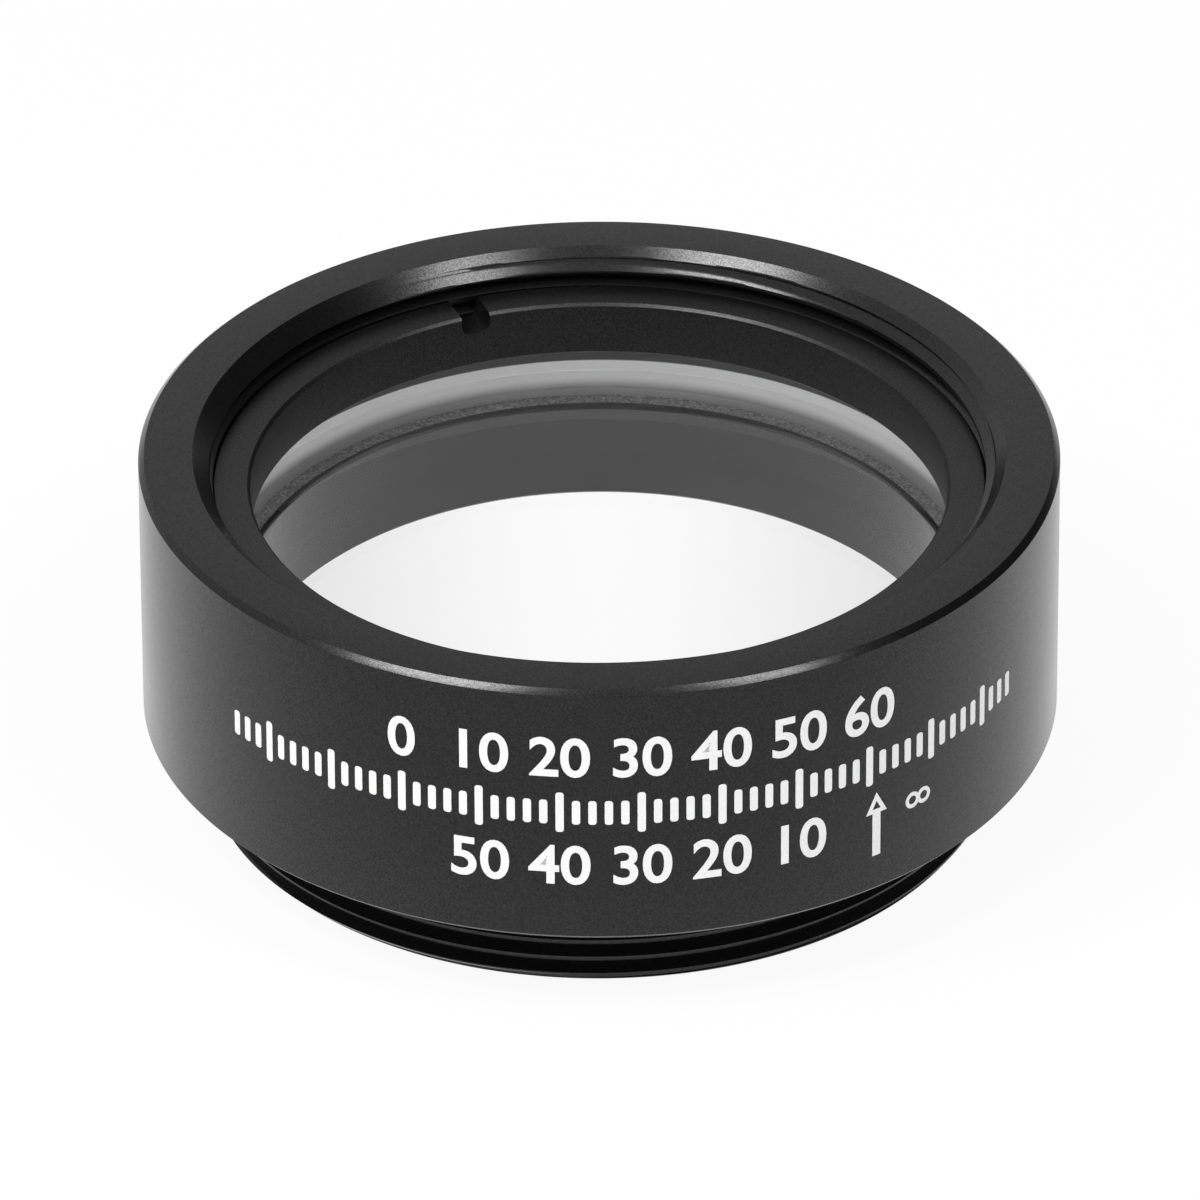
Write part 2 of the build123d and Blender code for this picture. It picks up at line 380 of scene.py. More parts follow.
def pale_floor(name, base):
    """Plain white paper. It keeps the shadow, and looks white in the metal and through the glass."""
    tooth_size = 0.5 * MM           # the paper's own, too faint to draw the eye
    near_y, far_y = -24 * MM, 5 * MM
    near_level, far_level = 0.68, 1.2
    lens_half_width = 14 * MM
    middle_level, side_level = 1.03, 0.78
    level_after_mirror = 0.45
    level_at_ground_glass = 1.5
    plain_in_metal, plain_to_camera = 0.87, 0.93
    material, tree, place = new_material(name)
    tooth = add(tree, "ShaderNodeTexNoise", inputs={
        "Vector": place, "Scale": 1 / tooth_size, "Detail": 2.0})
    shade = add(tree, "ShaderNodeMix", {"data_type": "RGBA"},
                {"Factor": tooth.outputs["Fac"], "A": shade_of(base, 0.98), "B": tuple(base)})
    paper = add(tree, "ShaderNodeBsdfPrincipled", inputs={
        "Base Color": shade.outputs[2], "Roughness": 0.8})
    ray, was_mirrored, was_scattered = light_history(tree)
    axes = add(tree, "ShaderNodeSeparateXYZ", inputs={0: place}).outputs
    # In the metal it is darker toward the front and brighter further back: a painted shade near the
    # foot of the cell.
    mirror_level = add(tree, "ShaderNodeMapRange", inputs={
        "Value": axes[1], "From Min": near_y, "From Max": far_y,
        "To Min": near_level, "To Max": far_level})
    # Through the lens it falls off a little to both sides, a painted shade. It is darker once a ray
    # has been mirrored, a painted shade under the cell, and brighter to the ground glass, which it
    # lights.
    aside = add(tree, "ShaderNodeMath", {"operation": "ABSOLUTE"}, {0: axes[0]})
    lens_level = add(tree, "ShaderNodeMapRange", {"interpolation_type": "SMOOTHSTEP"}, {
        "Value": aside.outputs[0], "From Min": 0.0, "From Max": lens_half_width,
        "To Min": middle_level, "To Max": side_level})
    clear_level = add(tree, "ShaderNodeMix", {"data_type": "FLOAT"}, {
        "Factor": was_mirrored, "A": lens_level.outputs[0], "B": level_after_mirror})
    glass_level = add(tree, "ShaderNodeMix", {"data_type": "FLOAT"}, {
        "Factor": was_scattered, "A": clear_level.outputs[0], "B": level_at_ground_glass})
    level = add(tree, "ShaderNodeMix", {"data_type": "FLOAT"}, {
        "Factor": ray["Is Glossy Ray"], "A": 1.0, "B": mirror_level.outputs[0]})
    strength = add(tree, "ShaderNodeMix", {"data_type": "FLOAT"}, {
        "Factor": ray["Is Transmission Ray"], "A": level.outputs[0], "B": glass_level.outputs[0]})
    glow = add(tree, "ShaderNodeEmission", inputs={"Color": WHITE, "Strength": strength.outputs[0]})
    # What sees the plain level and what sees the lit paper with its shadow.
    in_metal = add(tree, "ShaderNodeMath", {"operation": "MULTIPLY"},
                   {0: ray["Is Glossy Ray"], 1: plain_in_metal})
    to_camera = add(tree, "ShaderNodeMath", {"operation": "MULTIPLY"},
                    {0: ray["Is Camera Ray"], 1: plain_to_camera})
    seen = add(tree, "ShaderNodeMath", {"operation": "MAXIMUM"},
               {0: in_metal.outputs[0], 1: ray["Is Transmission Ray"]})
    plain = add(tree, "ShaderNodeMath", {"operation": "MAXIMUM"},
                {0: seen.outputs[0], 1: to_camera.outputs[0]})
    mix = add(tree, "ShaderNodeMixShader", inputs={
        0: plain.outputs[0], 1: paper.outputs[0], 2: glow.outputs[0]})
    add(tree, "ShaderNodeOutputMaterial", inputs={"Surface": mix.outputs[0]})
    return material


# Mesh helpers

WELD_DISTANCE = 1e-6
TURNED_EDGE = math.radians(35)      # faces that meet at more than this keep a sharp edge
GLASS_EDGE = math.radians(20)
PRINT_EDGE = math.radians(30)


def link_new(name, data):
    """A new object at the origin, linked to the scene."""
    piece = bpy.data.objects.new(name, data)
    bpy.context.scene.collection.objects.link(piece)
    return piece


def mesh_of(bm, name):
    """Turns an edited mesh into a stored one."""
    mesh = bpy.data.meshes.new(name)
    bm.to_mesh(mesh)
    bm.free()
    return mesh


def rounded(outline, radius, steps=3):
    """The (r, z) outline with each inner corner turned into a small arc of straight steps."""
    most_of_side = 0.4
    result = [outline[0]]
    for before, corner, after in zip(outline, outline[1:], outline[2:]):
        corner_v = Vector(corner)
        back = Vector(before) - corner_v
        on = Vector(after) - corner_v
        half = back.angle(on) / 2
        setback = min(radius / math.tan(half), most_of_side * back.length, most_of_side * on.length)
        start = corner_v + back.normalized() * setback
        end = corner_v + on.normalized() * setback
        for i in range(steps + 1):
            t = i / steps
            point = start * (1 - t) ** 2 + corner_v * (2 * t * (1 - t)) + end * t ** 2
            result.append(tuple(point))
    result.append(outline[-1])
    return result


def turned_strip(bm, outline, segments, material_index=0):
    """Faces swept around Z by an (r, z) outline. A point on the axis becomes one pole."""
    rows = []
    for r, z in outline:
        if r < WELD_DISTANCE:
            rows.append([bm.verts.new((0, 0, z))])
        else:
            rows.append([bm.verts.new((r * math.cos(math.tau * i / segments),
                                       r * math.sin(math.tau * i / segments), z))
                         for i in range(segments)])
    for low, high in zip(rows, rows[1:]):
        for i in range(segments):
            j = (i + 1) % segments
            corners = [low[i % len(low)], low[j % len(low)], high[j % len(high)], high[i % len(high)]]
            distinct = list(dict.fromkeys(corners))
            face = bm.faces.new(distinct)
            face.material_index = material_index
            face.smooth = True


def finished(bm, name, materials, sharp_angle):
    """Welds the mesh, turns its faces outward and makes it an object at the origin."""
    bmesh.ops.remove_doubles(bm, verts=bm.verts, dist=WELD_DISTANCE)
    bmesh.ops.recalc_face_normals(bm, faces=bm.faces)
    for edge in bm.edges:
        edge.smooth = len(edge.link_faces) == 2 and edge.calc_face_angle(0) < sharp_angle
    mesh = mesh_of(bm, name)
    for material in materials:
        mesh.materials.append(material)
    return link_new(name, mesh)


def as_plain_mesh(piece):
    """The evaluated mesh of an object, with its modifiers taken up into it."""
    depsgraph = bpy.context.evaluated_depsgraph_get()
    return bpy.data.meshes.new_from_object(piece.evaluated_get(depsgraph))


# Threads

INSIDE_DEPTH = 0.5413       # crest to root, in pitches
OUTSIDE_DEPTH = 0.6134
INSIDE_FLAT = 0.25          # width of a crest, in pitches
OUTSIDE_FLAT = 0.125
FLANK_SLOPE = math.sqrt(3)  # flanks stand 30 degrees either side of square to the axis


# Each line names a value and says how it is worked out from the values above it, from the tree's
# inputs or from the grid's own place, which runs from -0.5 to 0.5 both ways.
THREAD_STEPS = (
    # The grid's rows climb with the helix. They start more than a turn low, and stop at both rims.
    ("span", "SUBTRACT", "High Z", "Low Z"),
    ("pitches in span", "DIVIDE", "span", "Pitch"),
    ("whole pitches", "CEIL", "pitches in span"),
    ("turns", "ADD", "whole pitches", 2.0),
    ("rows", "MULTIPLY", "turns", "Steps"),
    ("points up", "ADD", "rows", 1.0),
    ("points around", "ADD", "Segments", 1.0),
    ("turn", "ADD", "grid x", 0.5),
    ("rise", "ADD", "grid y", 0.5),
    ("climb", "MULTIPLY", "rise", "turns"),
    ("low from crest", "SUBTRACT", "Low Z", "Crest Z"),
    ("low in pitches", "DIVIDE", "low from crest", "Pitch"),
    ("whole low", "FLOOR", "low in pitches"),
    ("start", "SUBTRACT", "whole low", 1.0),
    ("level", "ADD", "start", "climb"),
    ("wound level", "ADD", "level", "turn"),
    ("free z", "MULTIPLY_ADD", "wound level", "Pitch", "Crest Z"),
    ("stopped low", "MAXIMUM", "free z", "Low Z"),
    ("z", "MINIMUM", "stopped low", "High Z"),
    # Distance from the middle of the nearest crest along the axis, in pitches.
    ("z from crest", "SUBTRACT", "z", "Crest Z"),
    ("z in pitches", "DIVIDE", "z from crest", "Pitch"),
    ("unwound", "SUBTRACT", "z in pitches", "turn"),
    ("half on", "ADD", "unwound", 0.5),
    ("part", "FRACT", "half on"),
    ("signed", "SUBTRACT", "part", 0.5),
    ("from crest", "ABSOLUTE", "signed"),
    # How far the flank has dropped from the crest there.
    ("half flat", "MULTIPLY", "Crest Flat", 0.5),
    ("past flat", "SUBTRACT", "from crest", "half flat"),
    ("past flat z", "MULTIPLY", "past flat", "Pitch"),
    ("fall", "MULTIPLY", "past flat z", FLANK_SLOPE),
    ("on flank", "MAXIMUM", "fall", 0.0),
    ("drop", "MINIMUM", "on flank", "Depth"),
    # Side is 1 outside and -1 inside. Cones of 45 degrees cut the thread away at both rims.
    ("crest wall", "MULTIPLY", "Side", "Crest Radius"),
    ("wall", "SUBTRACT", "crest wall", "drop"),
    ("low rim", "MULTIPLY", "Side", "Low Radius"),
    ("from low", "SUBTRACT", "z", "Low Z"),
    ("low cone", "ADD", "low rim", "from low"),
    ("high rim", "MULTIPLY", "Side", "High Radius"),
    ("from high", "SUBTRACT", "High Z", "z"),
    ("high cone", "ADD", "high rim", "from high"),
    ("nearer cone", "MINIMUM", "low cone", "high cone"),
    ("cut wall", "MINIMUM", "wall", "nearer cone"),
    ("radius", "MULTIPLY", "Side", "cut wall"),
    ("angle", "MULTIPLY", "turn", math.tau),
    ("cosine", "COSINE", "angle"),
    ("sine", "SINE", "angle"),
    ("x", "MULTIPLY", "radius", "cosine"),
    ("y", "MULTIPLY", "radius", "sine"),
)


def add_inputs(tree, kinds):
    """Gives a geometry tree its output and its named inputs, and returns their sockets by name."""
    sockets = tree.interface
    sockets.new_socket("Geometry", in_out="OUTPUT", socket_type="NodeSocketGeometry")
    for kind, names in kinds.items():
        for name in names:
            sockets.new_socket(name, in_out="INPUT", socket_type=kind)
    given = add(tree, "NodeGroupInput").outputs
    return {socket.name: socket for socket in given if socket.name}


def add_steps(tree, steps, values):
    """Works through lines of (name, operation, terms), and returns all the values by name."""
    for name, operation, *terms in steps:
        numbered = {i: values.get(term, term) for i, term in enumerate(terms)}
        values[name] = add(tree, "ShaderNodeMath", {"operation": operation}, numbered).outputs[0]
    return values


def add_ending(tree, geometry, material):
    """Ends a geometry tree: instances made real, and one material on them."""
    real = add(tree, "GeometryNodeRealizeInstances", inputs={0: geometry})
    coated = add(tree, "GeometryNodeSetMaterial", inputs={"Geometry": real.outputs[0],
                                                          "Material": material})
    add(tree, "NodeGroupOutput", inputs={0: coated.outputs[0]})


def thread_tree():
    """Geometry node tree of one helical thread wall, closed around and plain at both its rims."""
    tree = bpy.data.node_groups.new("Thread Wall", "GeometryNodeTree")
    values = add_inputs(tree, {
        "NodeSocketInt": ("Segments", "Steps"),
        "NodeSocketFloat": ("Pitch", "Crest Radius", "Depth", "Crest Flat", "Side", "Low Z", "High Z",
                            "Low Radius", "High Radius", "Crest Z"),
        "NodeSocketMaterial": ("Material",)})
    place = add(tree, "GeometryNodeInputPosition").outputs[0]
    flat = add(tree, "ShaderNodeSeparateXYZ", inputs={0: place}).outputs
    values.update({"grid x": flat[0], "grid y": flat[1]})
    add_steps(tree, THREAD_STEPS, values)
    grid = add(tree, "GeometryNodeMeshGrid", inputs={
        "Size X": 1.0, "Size Y": 1.0, "Vertices X": values["points around"],
        "Vertices Y": values["points up"]})
    point = add(tree, "ShaderNodeCombineXYZ", inputs={0: values["x"], 1: values["y"], 2: values["z"]})
    bent = add(tree, "GeometryNodeSetPosition", inputs={"Geometry": grid.outputs["Mesh"],
                                                        "Position": point.outputs[0]})
    welded = add(tree, "GeometryNodeMergeByDistance", inputs={"Geometry": bent.outputs[0],
                                                              "Distance": WELD_DISTANCE})
    add_ending(tree, welded.outputs[0], values["Material"])
    return tree


def add_from_tree(bm, tree, values):
    """Adds to a mesh what a geometry tree makes of these values, given by the names of its inputs."""
    carrier = link_new("carrier", bpy.data.meshes.new("carrier"))
    modifier = carrier.modifiers.new(tree.name, "NODES")
    modifier.node_group = tree
    for item in tree.interface.items_tree:
        if item.in_out == "INPUT":
            modifier[item.identifier] = values[item.name]
    carrier.update_tag()
    mesh = as_plain_mesh(carrier)
    first_new = len(bm.faces)
    bm.from_mesh(mesh)
    bm.faces.ensure_lookup_table()
    for face in bm.faces[first_new:]:
        face.smooth = True
        face.material_index = 0
    bpy.data.objects.remove(carrier)
    bpy.data.meshes.remove(mesh)


def thread_wall(bm, material, **values):
    """Adds one thread wall to a mesh. Values are the tree's own inputs, with _ for a space."""
    tree = bpy.data.node_groups.get("Thread Wall") or thread_tree()
    thread = bpy.context.scene.doublet.thread
    given = {name.replace("_", " "): value for name, value in values.items()}
    given.update({"Segments": thread.segments, "Steps": thread.steps, "Pitch": thread.pitch,
                  "Material": material})
    add_from_tree(bm, tree, given)


def thread_radii(thread):
    """Radii of the outside root and the inside crest."""
    return (thread.major_r - OUTSIDE_DEPTH * thread.pitch,
            thread.major_r - INSIDE_DEPTH * thread.pitch)


# Pieces

def build_housing(settings):
    """The cell: two turned walls joined by the thread outside and the thread inside."""
    cell, thread, finish = settings.cell, settings.thread, settings.finish
    outside_root, inside_crest = thread_radii(thread)
    shoulder_z = cell.stub_length
    contact_r = cell.opening_r + cell.edge_break
    ledge_z = FLINT_LOW[2] + (settings.glass.back_radius
                              - math.sqrt(settings.glass.back_radius ** 2 - contact_r ** 2))
    bore_r = OPTIC_R + cell.optic_gap
    thread_low = RING_LOW[2] - thread.play
    bore_top = thread_low - cell.runout
    dull_low_z = ledge_z - 2.5 * cell.edge_break
    film = black_anodised("Anodised aluminium, cell", finish.anodise, roughness=0.23,
                          line_depth=0.0004 * MM, grain_depth=0.0010 * MM, mottle_depth=0.0010 * MM)
    ledge_specks = rubbed_film("Anodised aluminium, pale ledge", finish.ledge_dark, finish.ledge_bright)
    dull = black_anodised("Anodised aluminium, edge of the ledge", finish.anodise, roughness=0.75,
                          line_depth=0.0, grain_depth=0.0010 * MM, mottle_depth=0.0)
    bm = bmesh.new()
    below = [
        (outside_root, 0),
        (contact_r, 0),
        (cell.opening_r, cell.edge_break),
        (cell.opening_r, dull_low_z),
        (cell.opening_r, ledge_z - cell.edge_break),
        (contact_r, ledge_z),
        (bore_r, ledge_z),
        (bore_r, bore_top),
        (thread.major_r, bore_top),
        (thread.major_r, thread_low),
    ]
    above = [
        (outside_root, shoulder_z - cell.relief_width),
        (outside_root, shoulder_z),
        (BARREL_R - cell.foot_chamfer, shoulder_z),
        (BARREL_R, shoulder_z + cell.foot_chamfer),
        (BARREL_R, TOP_Z - cell.top_chamfer),
        (BARREL_R - cell.top_chamfer, TOP_Z),
        (thread.major_r + cell.mouth_flare, TOP_Z),
    ]
    turned_strip(bm, rounded(below, cell.turned_edge), thread.segments)
    turned_strip(bm, rounded(above, cell.turned_edge), thread.segments)
    thread_wall(bm, film, Crest_Radius=thread.major_r, Depth=OUTSIDE_DEPTH * thread.pitch,
                Crest_Flat=OUTSIDE_FLAT, Side=1.0, Low_Z=0.0,
                High_Z=shoulder_z - cell.relief_width, Low_Radius=outside_root,
                High_Radius=outside_root, Crest_Z=thread.outside_crest * thread.pitch)
    thread_wall(bm, film, Crest_Radius=inside_crest, Depth=INSIDE_DEPTH * thread.pitch,
                Crest_Flat=INSIDE_FLAT, Side=-1.0, Low_Z=thread_low, High_Z=TOP_Z,
                Low_Radius=thread.major_r, High_Radius=thread.major_r + cell.mouth_flare,
                Crest_Z=thread.inside_crest * thread.pitch)
    bm.normal_update()
    nearly_level = 0.9
    for face in bm.faces:
        middle = face.calc_center_median()
        if abs(middle.z - ledge_z) < cell.turned_edge and abs(face.normal.z) > nearly_level:
            face.material_index = 1
        elif dull_low_z < middle.z < ledge_z and middle.xy.length < contact_r:
            face.material_index = 2
    piece = finished(bm, "cell_body", [film, ledge_specks, dull], TURNED_EDGE)
    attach(piece, BODY)
    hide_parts("housing")
    return piece


def slot_cutter(settings):
    """Two round-bottomed bars across the ring, one for each spanner slot."""
    ring = settings.ring
    middle_r = (ring.aperture_r + settings.thread.major_r) / 2
    past_ring = 1.2
    reach = past_ring * (settings.thread.major_r - ring.aperture_r)
    half = ring.slot_width / 2
    floor_z = RING_HIGH[2] - ring.slot_depth
    roof_z = RING_HIGH[2] + ring.slot_depth
    section = [(-half, roof_z), (-half, floor_z + ring.slot_corner)]
    corner_steps = 6
    for centre, start in ((-half + ring.slot_corner, math.pi),
                          (half - ring.slot_corner, 1.5 * math.pi)):
        for i in range(corner_steps + 1):
            angle = start + math.pi / 2 * i / corner_steps
            section.append((centre + ring.slot_corner * math.cos(angle),
                            floor_z + ring.slot_corner + ring.slot_corner * math.sin(angle)))
    section.append((half, roof_z))
    bm = bmesh.new()
    for turn in (ring.slot_turn, ring.slot_turn + math.pi):
        place = Matrix.Rotation(turn, 4, "Z")
        ends = [[bm.verts.new(place @ Vector((middle_r + x, y, z))) for y, z in section]
                for x in (-reach, reach)]
        bm.faces.new(ends[0])
        bm.faces.new(reversed(ends[1]))
        count = len(section)
        for i in range(count):
            j = (i + 1) % count
            bm.faces.new((ends[0][i], ends[1][i], ends[1][j], ends[0][j]))
    bmesh.ops.recalc_face_normals(bm, faces=bm.faces)
    return link_new("slot_cutter", mesh_of(bm, "slot_cutter"))


def build_ring(settings):
    """The retaining ring: turned and threaded whole, then slotted."""
    cell, thread, ring, finish = settings.cell, settings.thread, settings.ring, settings.finish
    outside_root = thread_radii(thread)[0] - thread.play
    low, high = RING_LOW[2], RING_HIGH[2]
    film = black_anodised("Anodised aluminium, ring", finish.anodise, roughness=0.40,
                          line_depth=0.0004 * MM, grain_depth=0.0012 * MM, mottle_depth=0.0010 * MM)
    outline = [
        (outside_root, low),
        (ring.aperture_r + ring.seat_chamfer, low),
        (ring.aperture_r, low + ring.seat_chamfer),
        (ring.aperture_r, high - cell.edge_break),
        (ring.aperture_r + cell.edge_break, high),
        (outside_root, high),
    ]
    bm = bmesh.new()
    turned_strip(bm, rounded(outline, cell.turned_edge), thread.segments)
    # The ring's crests lie in the cell's roots, half a pitch from the cell's crests.
    thread_wall(bm, film, Crest_Radius=thread.major_r - thread.play,
                Depth=OUTSIDE_DEPTH * thread.pitch, Crest_Flat=OUTSIDE_FLAT, Side=1.0,
                Low_Z=low, High_Z=high, Low_Radius=outside_root, High_Radius=outside_root,
                Crest_Z=(thread.inside_crest + 0.5) * thread.pitch)
    whole = finished(bm, "ring_whole", [film], TURNED_EDGE)
    cutter = slot_cutter(settings)
    cut = whole.modifiers.new("Slots", "BOOLEAN")
    cut.operation = "DIFFERENCE"
    cut.solver = "EXACT"
    cut.object = cutter
    mesh = as_plain_mesh(whole)
    for unused in (whole, cutter):
        bpy.data.objects.remove(unused)
    bm = bmesh.new()
    bm.from_mesh(mesh)
    for face in bm.faces:
        face.material_index = 0
    bpy.data.meshes.remove(mesh)
    piece = finished(bm, "threaded_ring", [film], TURNED_EDGE)
    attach(piece, BODY)
    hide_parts("retaining_ring")
    return piece


def face_points(vertex_z, radius, sign, rim_r, rings):
    """Points of a spherical face from the axis to its rim. Sign is 1 where it falls away outward."""
    points = []
    for i in range(rings + 1):
        r = rim_r * i / rings
        points.append((r, vertex_z - sign * (radius - math.sqrt(radius ** 2 - r ** 2))))
    return points


def build_element(settings, name, node, upper, lower, bevels, materials):
    """One glass element. Upper and lower are (vertex z, radius, sign) of its faces."""
    glass = settings.glass
    top = face_points(*upper, OPTIC_R - bevels[0], glass.rings)
    bottom = face_points(*lower, OPTIC_R - bevels[1], glass.rings)
    edge = [top[-1], (OPTIC_R, top[-1][1] - bevels[0]),
            (OPTIC_R, bottom[-1][1] + bevels[1]), bottom[-1]]
    bm = bmesh.new()
    turned_strip(bm, top, glass.segments, 0)
    turned_strip(bm, edge, glass.segments, 2)
    turned_strip(bm, bottom, glass.segments, 1)
    piece = finished(bm, name, materials, GLASS_EDGE)
    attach(piece, BODY)
    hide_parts(node)
    return piece


def build_glass(settings):
    """The crown and the flint, which share a face, with polished faces and ground edges."""
    glass, finish = settings.glass, settings.finish
    crown_ior, flint_ior = 1.517, 1.648
    coating = (0.12, 0.14, 0.13, 1.0)
    # Between these heights the ground edge is painted pale, and above and below them it is painted in
    # shade.
    lit_top_z, lit_foot_z = TOP_Z - 5.45 * MM, TOP_Z - 7.15 * MM
    ground = ground_glass("Ground glass edge", finish.ground, lit_top_z, lit_foot_z, FLINT_LOW[2])
    crown_face = coated_glass("Crown glass, coated face", crown_ior, coating)
    flint_face = coated_glass("Flint glass, coated face", flint_ior, coating)
    # The cement joins the elements with no air between, so light bends there only by the small
    # step from one glass to the other. The crown's lower face lets it straight through.
    crown_joint = coated_glass("Crown glass, cemented face", 1.0, WHITE)
    flint_joint = coated_glass("Flint glass, cemented face", flint_ior / crown_ior, WHITE)
    front = (CROWN_HIGH[2], glass.front_radius, 1)
    crown_back = (CROWN_LOW[2] + glass.joint_gap, glass.cement_radius, -1)
    flint_front = (CROWN_LOW[2], glass.cement_radius, -1)
    back = (FLINT_LOW[2], glass.back_radius, -1)
    build_element(settings, "crown_glass", "crown_element", front, crown_back,
                  (glass.bevel, glass.joint_bevel), [crown_face, crown_joint, ground])
    build_element(settings, "flint_glass", "flint_element", flint_front, back,
                  (glass.joint_bevel, glass.bevel), [flint_joint, flint_face, ground])


# Marks

BUILT_IN_DIGIT = 0.7        # height of the built-in font's digits at size 1


def filled(curve, marks):
    """The mesh of a flat closed curve, given the print's thickness."""
    curve.dimensions = "2D"
    curve.fill_mode = "BOTH"
    curve.extrude = (marks.ink_height + marks.ink_sunk) / 2
    holder = link_new("mark", curve)
    mesh = as_plain_mesh(holder)
    bpy.data.objects.remove(holder)
    bpy.data.curves.remove(curve)
    return mesh


def glyphs(text, height, marks):
    """Plain characters of the built-in font, centred on the origin."""
    curve = bpy.data.curves.new("mark", "FONT")
    curve.body = text
    curve.size = (height - 2 * marks.bold) / BUILT_IN_DIGIT
    curve.align_x = "CENTER"
    curve.align_y = "CENTER"
    curve.offset = marks.bold
    curve.resolution_u = 6
    return filled(curve, marks)


def closed_lines(outlines):
    """A curve of closed straight-sided outlines, each a list of (x, y) points."""
    curve = bpy.data.curves.new("mark", "CURVE")
    for outline in outlines:
        spline = curve.splines.new("POLY")
        spline.points.add(len(outline) - 1)
        for point, (x, y) in zip(spline.points, outline):
            point.co = (x, y, 0, 1)
        spline.use_cyclic_u = True
    return curve


def arrow(marks):
    """An upright arrow with a hollow head, centred on the origin."""
    half_height = 1.2 * MM
    head_half, head_height = 0.42 * MM, 0.78 * MM
    stem_half, line = 0.16 * MM, 0.15 * MM
    foot_of_head = half_height - head_height
    outside = [(0, half_height), (head_half, foot_of_head), (stem_half, foot_of_head),
               (stem_half, -half_height), (-stem_half, -half_height), (-stem_half, foot_of_head),
               (-head_half, foot_of_head)]
    lean = math.hypot(head_half, head_height) / head_height
    hole_low = foot_of_head + line
    hole_half = head_half * (half_height - hole_low) / head_height - line * lean
    hole_top = half_height - line * lean * head_height / head_half
    hole = [(0, hole_top), (-hole_half, hole_low), (hole_half, hole_low)]
    return filled(closed_lines([outside, hole]), marks)


def far_sign(marks):
    """An infinity sign drawn as two rings that run into each other, centred on the origin."""
    outer_r, inner_r, aside = 0.3 * MM, 0.16 * MM, 0.25 * MM
    opening = math.acos(aside / outer_r)
    steps = 20
    arc = [-(math.pi - opening) + 2 * (math.pi - opening) * i / steps for i in range(steps + 1)]
    outside = [(aside + outer_r * math.cos(a), outer_r * math.sin(a)) for a in arc]
    outside += [(-x, -y) for x, y in outside[1:-1]]
    circle = [math.tau * i / steps for i in range(steps)]
    holes = [[(side * aside + inner_r * math.cos(a), inner_r * math.sin(a)) for a in circle]
             for side in (-1, 1)]
    return filled(closed_lines([outside, *holes]), marks)


def wrap_on_barrel(bm, mesh, turn, middle_z, marks):
    """Bends a flat mark around the barrel, its middle at this angle from the front and this height."""
    flat = bmesh.new()
    flat.from_mesh(mesh)
    bpy.data.meshes.remove(mesh)
    reach = max(abs(vert.co.x) for vert in flat.verts)
    cuts = math.ceil(reach / marks.bend_step)
    for i in range(-cuts, cuts + 1):
        whole = flat.verts[:] + flat.edges[:] + flat.faces[:]
        bmesh.ops.bisect_plane(flat, geom=whole, plane_co=(i * marks.bend_step, 0, 0),
                               plane_no=(1, 0, 0))
    skin = BARREL_R + (marks.ink_height - marks.ink_sunk) / 2
    for vert in flat.verts:
        angle = turn + vert.co.x / BARREL_R
        r = skin + vert.co.z
        vert.co = (r * math.sin(angle), -r * math.cos(angle), middle_z + vert.co.y)
    bent = mesh_of(flat, "mark")
    bm.from_mesh(bent)
    bpy.data.meshes.remove(bent)


TICK_STEPS = (
    ("passed", "MULTIPLY", "index", "Step"),
    ("angle", "ADD", "First", "passed"),
    ("cosine", "COSINE", "angle"),
    ("sine", "SINE", "angle"),
    ("x", "MULTIPLY", "Radius", "sine"),
    ("side y", "MULTIPLY", "Radius", "cosine"),
    ("y", "MULTIPLY", "side y", -1.0),
    ("shifted", "ADD", "index", "Shift"),
    ("place in group", "MODULO", "shifted", "Group"),
    ("is long", "COMPARE", "place in group", 0.0, 0.5),
    ("is short", "SUBTRACT", 1.0, "is long"),
    # The ends are rounded, though not quite to half circles.
    ("corner", "MULTIPLY", "Width", 0.35),
)


def tick_tree():
    """Geometry node tree of a row of upright ticks around the barrel, some longer than the rest."""
    tree = bpy.data.node_groups.new("Dial Ticks", "GeometryNodeTree")
    values = add_inputs(tree, {
        "NodeSocketInt": ("Count", "Group", "Shift"),
        "NodeSocketFloat": ("First", "Step", "Radius", "Height", "Width", "Long", "Short", "Ink"),
        "NodeSocketMaterial": ("Material",)})
    values["index"] = add(tree, "GeometryNodeInputIndex").outputs[0]
    add_steps(tree, TICK_STEPS, values)
    place = add(tree, "ShaderNodeCombineXYZ", inputs={0: values["x"], 1: values["y"],
                                                      2: values["Height"]})
    spots = add(tree, "GeometryNodePoints", inputs={"Count": values["Count"],
                                                    "Position": place.outputs[0]})
    turned = add(tree, "ShaderNodeCombineXYZ", inputs={2: values["angle"]})
    rows = add(tree, "GeometryNodeJoinGeometry")
    for tall, chosen in (("Long", "is long"), ("Short", "is short")):
        frame_line = add(tree, "GeometryNodeCurvePrimitiveQuadrilateral",
                         inputs={"Width": values["Width"], "Height": values[tall]})
        softened = add(tree, "GeometryNodeFilletCurve", {"mode": "POLY"}, {
            "Curve": frame_line.outputs[0], "Count": 3, "Radius": values["corner"]})
        face = add(tree, "GeometryNodeFillCurve", {"mode": "NGONS"}, {"Curve": softened.outputs[0]})
        front = add(tree, "GeometryNodeExtrudeMesh", inputs={
            "Mesh": face.outputs[0], "Offset Scale": values["Ink"], "Individual": False})
        both = add(tree, "GeometryNodeJoinGeometry")
        tree.links.new(front.outputs["Mesh"], both.inputs[0])
        tree.links.new(face.outputs[0], both.inputs[0])
        upright = add(tree, "GeometryNodeTransform", inputs={
            "Geometry": both.outputs[0], "Rotation": (math.pi / 2, 0, 0)})
        ticks = add(tree, "GeometryNodeInstanceOnPoints", inputs={
            "Points": spots.outputs[0], "Selection": values[chosen], "Instance": upright.outputs[0],
            "Rotation": turned.outputs[0]})
        tree.links.new(ticks.outputs[0], rows.inputs[0])
    add_ending(tree, rows.outputs[0], values["Material"])
    return tree


